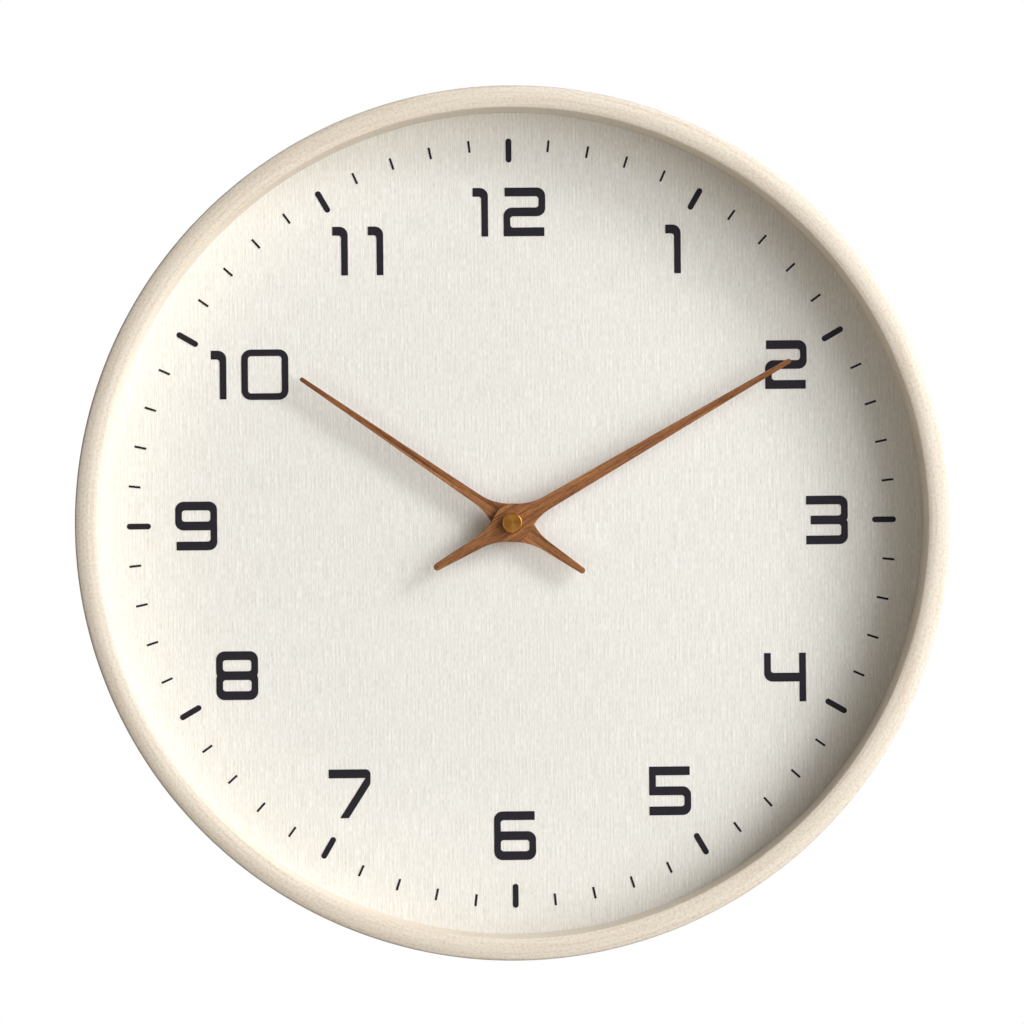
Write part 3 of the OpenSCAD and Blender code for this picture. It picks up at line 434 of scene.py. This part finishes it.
def piece(name, mesh, node):
    """Puts a mesh in the scene in place of a CAD node, with that node's finish."""
    made = bpy.data.objects.new(name, mesh)
    bpy.context.scene.collection.objects.link(made)
    mesh.materials.clear()
    mesh.materials.append(look_of(node).material)
    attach(made, body_of_node[node])
    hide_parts(node)
    return made


def all_smooth(mesh):
    """Smooth shading over every edge."""
    for face in mesh.polygons:
        face.use_smooth = True


def smooth(mesh, bend=SHARP_BEND):
    """Smooth shading that keeps edges which bend by more than the angle, in degrees."""
    all_smooth(mesh)
    mesh.set_sharp_from_angle(angle=math.radians(bend))


def as_mesh(bm, name):
    """A mesh with the edited shape. It ends the edit."""
    mesh = bpy.data.meshes.new(name)
    bm.to_mesh(mesh)
    bm.free()
    return mesh


def lathe(name, profile, steps, closed=True):
    """Mesh turned about the Y axis. The profile is a list of (radius, y).

    The UVs are in metres. They run round to the far side and back, so that they have no seam.
    """
    bm = bmesh.new()
    layer = bm.loops.layers.uv.new("UVMap")
    angles = [FULL_TURN * turn / steps for turn in range(steps)]
    verts = [[bm.verts.new((r * math.cos(a), y, r * math.sin(a))) for r, y in profile] for a in angles]
    along = [0.0]
    for start, end in zip(profile, profile[1:] + profile[:1]):
        along.append(along[-1] + math.dist(start, end))
    widest = max(r for r, y in profile)
    count = len(profile)
    for turn in range(steps):
        for place in range(count if closed else count - 1):
            corners = ((turn, place), (turn + 1, place), (turn + 1, place + 1), (turn, place + 1))
            face = bm.faces.new([verts[i % steps][j % count] for i, j in corners])
            for loop, (i, j) in zip(face.loops, corners):
                loop[layer].uv = (widest * FULL_TURN * min(i, steps - i) / steps, along[j])
    bmesh.ops.remove_doubles(bm, verts=bm.verts, dist=SAME_PLACE)
    bmesh.ops.recalc_face_normals(bm, faces=bm.faces)
    return as_mesh(bm, name)


def arc(centre, radius, start, end, steps):
    """Points from start to end degrees on an arc in the (radius, y) plane."""
    angles = (math.radians(start + (end - start) * i / steps) for i in range(steps + 1))
    return [(centre[0] + radius * math.cos(a), centre[1] + radius * math.sin(a)) for a in angles]


def eased(name, node, width, segments=2, moulded_shell=False):
    """The CAD node's own shape with its sharp edges eased, as moulded, cut or sanded parts have.

    The flat faces of a moulded shell bend round openings, so they are split where they turn inwards.
    """
    bm = bmesh.new()
    bm.from_mesh(nodes[node].data)
    bmesh.ops.remove_doubles(bm, verts=bm.verts, dist=SAME_PLACE)
    bmesh.ops.dissolve_limit(bm, angle_limit=math.radians(FLAT_BEND), verts=bm.verts, edges=bm.edges)
    if moulded_shell:
        bmesh.ops.connect_verts_concave(bm, faces=bm.faces)
    mesh = as_mesh(bm, name)
    all_smooth(mesh)
    made = piece(name, mesh, node)
    bevel = made.modifiers.new("eased edges", "BEVEL")
    bevel.width = width
    bevel.segments = segments
    bevel.limit_method = "ANGLE"
    bevel.angle_limit = math.radians(EASED_BEND)
    bevel.miter_outer = "MITER_ARC"
    bevel.use_clamp_overlap = not moulded_shell
    shading = made.modifiers.new("even shading", "WEIGHTED_NORMAL")
    shading.keep_sharp = False


def ring():
    """The bent-wood ring: crowned front edge, step for the dial board, eased back edges."""
    low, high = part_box("wood_frame")
    face_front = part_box("dial_face")[0].y
    outer = high.x
    wall = 7.5 * MM
    opening = outer - wall
    board_gap = 0.2 * MM
    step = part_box("dial_board")[1].x + board_gap
    ease = 0.5 * MM
    crown = 9.3 * MM
    outer_corner = 1.0 * MM
    inner_corner = 0.5 * MM
    middle = opening + wall / 2
    centre = low.y + crown

    def corner_turn(corner):
        """Degrees from the ring's plane to the point where a corner meets the crown."""
        return math.degrees(math.acos((wall / 2 - corner) / (crown - corner)))

    def corner_y(corner):
        """Depth of a corner's own centre."""
        return centre - (crown - corner) * math.sin(math.radians(corner_turn(corner)))

    outer_turn = corner_turn(outer_corner)
    inner_turn = corner_turn(inner_corner)
    outer_at = (outer - outer_corner, corner_y(outer_corner))
    inner_at = (opening + inner_corner, corner_y(inner_corner))
    profile = (
        arc((outer - ease, -ease), ease, 90, 0, EASE_STEPS)
        + arc(outer_at, outer_corner, 0, -outer_turn, CORNER_STEPS)
        + arc((middle, centre), crown, -outer_turn, inner_turn - 180, CROWN_STEPS)[1:-1]
        + arc(inner_at, inner_corner, inner_turn - 180, -180, CORNER_STEPS)
        + [(opening, face_front), (step, face_front)]
        + arc((step + ease, -ease), ease, 180, 90, EASE_STEPS)
    )
    mesh = lathe("ring", profile, RING_STEPS)
    smooth(mesh)
    piece("ring", mesh, "wood_frame")


def cap():
    """Turned cap nut: straight side, narrow bevel, a slightly dished face and a blind bore behind."""
    low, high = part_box("cap_nut")
    radius = high.x
    rings = sorted({round(math.hypot(v.co.x, v.co.z), 5) for v in nodes["cap_nut"].data.vertices})
    bore = next(ring for ring in rings if ring > MM)
    web = 1.2 * MM
    edge = 0.45 * MM
    ease = 0.12 * MM
    dish = 0.01 * MM
    top = low.y
    profile = (
        [(0, top + web), (bore, top + web), (bore, high.y), (radius - ease, high.y)]
        + arc((radius - ease, high.y - ease), ease, 90, 0, EASE_STEPS)
        + arc((radius - ease, top + edge), ease, 0, -40, EASE_STEPS)
        + arc((radius - edge - ease, top + ease), ease, -45, -90, EASE_STEPS)
        + [(radius * 0.6, top + 3 * dish), (radius * 0.3, top + 2 * dish), (0, top + dish)]
    )
    mesh = lathe("cap", profile, CAP_STEPS, closed=False)
    smooth(mesh, CAP_SHARP_BEND)
    piece("cap", mesh, "cap_nut")


def finish_cad_nodes():
    """Gives every CAD node that still shows its finish and smooth shading."""
    for name, node in nodes.items():
        if not node.hide_render:
            node.data.materials.clear()
            node.data.materials.append(look_of(name).material)
            smooth(node.data)


ring()
cap()
eased("minute_hand_wood", "minute_hand", 0.22 * MM, 3)
eased("hour_hand_wood", "hour_hand", 0.22 * MM, 3)
eased("hanger_plate", "wall_hanger", 0.15 * MM)
eased("blocks", "glue_blocks", 0.5 * MM)
eased("movement_shell", "case_front", 0.15 * MM, moulded_shell=True)
eased("movement_back", "case_back", 0.15 * MM, moulded_shell=True)
eased("knob", "setting_knob", 0.12 * MM)
finish_cad_nodes()


# ---- Floor, light and camera ----

FLOOR_LEVEL = -2.2
FLOOR_RADIUS = 4.0
PALE = linear(240, 240, 238)

DAYLIGHT = (1.0, 1.0, 1.0)
ROOM_LIGHT = (1.0, 0.93, 0.83)
LAMP_DISTANCE = 2.6

# Degrees clockwise from 12, degrees above the dial's plane, metres across, watts and colour
LAMPS = {
    "window": (90, 35, 2.4, 42, DAYLIGHT),
    "upper window": (60, 30, 2.4, 35, DAYLIGHT),
    "bright pane": (58, 26, 0.8, 31, DAYLIGHT),
    "front fill": (90, 58, 2.0, 13, DAYLIGHT),
    "left fill": (240, 55, 2.0, 11, ROOM_LIGHT),
    "floor glow": (180, 35, 2.4, 10, ROOM_LIGHT),
}

# Metres and degrees
CAMERA_DISTANCE = 1.57
CAMERA_LEFT = 1.2
CAMERA_BELOW = 0.3
CAMERA_ROLL = -0.56
AIM_HEIGHT = 3.8 * MM
FOCAL_LENGTH = 159.0
CLIP_START = 0.05


def aimed(thing, at, target, roll=0.0):
    """Puts a light or camera at a place, looking at a target, with a roll in degrees."""
    thing.location = at
    facing = (Vector(target) - Vector(at)).to_track_quat("-Z", "Y")
    thing.rotation_mode = "QUATERNION"
    thing.rotation_quaternion = facing @ Matrix.Rotation(math.radians(roll), 3, "Z").to_quaternion()
    bpy.context.scene.collection.objects.link(thing)


def area_light(name, direction, distance, size, power, colour):
    """A soft round light in a direction from the dial's centre."""
    lamp = bpy.data.lights.new(name, "AREA")
    lamp.shape = "DISK"
    lamp.size = size
    lamp.energy = power
    lamp.color = colour
    made = bpy.data.objects.new(name, lamp)
    made.visible_camera = False
    aimed(made, Vector(direction).normalized() * distance, (0, 0, 0))


def from_dial(clockwise, height):
    """Direction clockwise from 12 on the dial, at a height in degrees above the dial's plane."""
    side, up = math.radians(clockwise), math.radians(height)
    return (math.sin(side) * math.cos(up), -math.sin(up), math.cos(side) * math.cos(up))


def light_room():
    """Windows on the right, weaker fill from the other sides, and a light on the clock's back."""
    for name, (clockwise, height, size, power, colour) in LAMPS.items():
        area_light(name, from_dial(clockwise, height), LAMP_DISTANCE, size, power, colour)
    area_light("rear", direction=(-0.5, 1.0, 0.6), distance=2.0, size=1.2, power=34, colour=DAYLIGHT)


def floor():
    """A plain pale floor below the clock. It glows, so that it looks pale outside the lights too."""
    bm = bmesh.new()
    bmesh.ops.create_circle(bm, cap_ends=True, radius=FLOOR_RADIUS, segments=FLOOR_STEPS)
    mesh = as_mesh(bm, "floor")
    made = bpy.data.objects.new("floor", mesh)
    made.location.z = FLOOR_LEVEL
    made.visible_diffuse = False
    made.visible_glossy = False
    bpy.context.scene.collection.objects.link(made)
    look = Look("floor", roughness=0.9, emission_color=PALE, emission_strength=0.9)
    look.colour(PALE)
    mesh.materials.append(look.material)


def world(seen, mirrored, fill):
    """A white surround, with its own brightness for the camera, in reflections and as a light."""
    made = bpy.data.worlds.new("surround")
    bpy.context.scene.world = made
    made.use_nodes = True
    tree = made.node_tree
    background = tree.nodes["Background"]
    background.inputs["Color"].default_value = WHITE
    rays = tree.nodes.new("ShaderNodeLightPath").outputs
    strength = fill
    for ray, level in (("Is Glossy Ray", mirrored), ("Is Camera Ray", seen)):
        switch = tree.nodes.new("ShaderNodeMapRange")
        feed(tree, switch.inputs["Value"], rays[ray])
        feed(tree, switch.inputs["To Min"], strength)
        feed(tree, switch.inputs["To Max"], level)
        strength = switch.outputs["Result"]
    feed(tree, background.inputs["Strength"], strength)


def camera():
    """A long lens in front of the dial, a little to the left and below, aimed just above its centre."""
    dial_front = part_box("dial_face")[0].y
    lens = bpy.data.cameras.new("camera")
    lens.lens = FOCAL_LENGTH
    lens.clip_start = CLIP_START
    made = bpy.data.objects.new("camera", lens)
    left, below = math.radians(CAMERA_LEFT), math.radians(CAMERA_BELOW)
    at = (
        -CAMERA_DISTANCE * math.sin(left),
        dial_front - CAMERA_DISTANCE * math.cos(left),
        -CAMERA_DISTANCE * math.sin(below),
    )
    aimed(made, at, (0.0, dial_front, AIM_HEIGHT), CAMERA_ROLL)
    return made


floor()
world(seen=1.0, mirrored=0.42, fill=0.01)
light_room()
bpy.context.scene.camera = camera()
bpy.context.scene.view_settings.view_transform = "Standard"
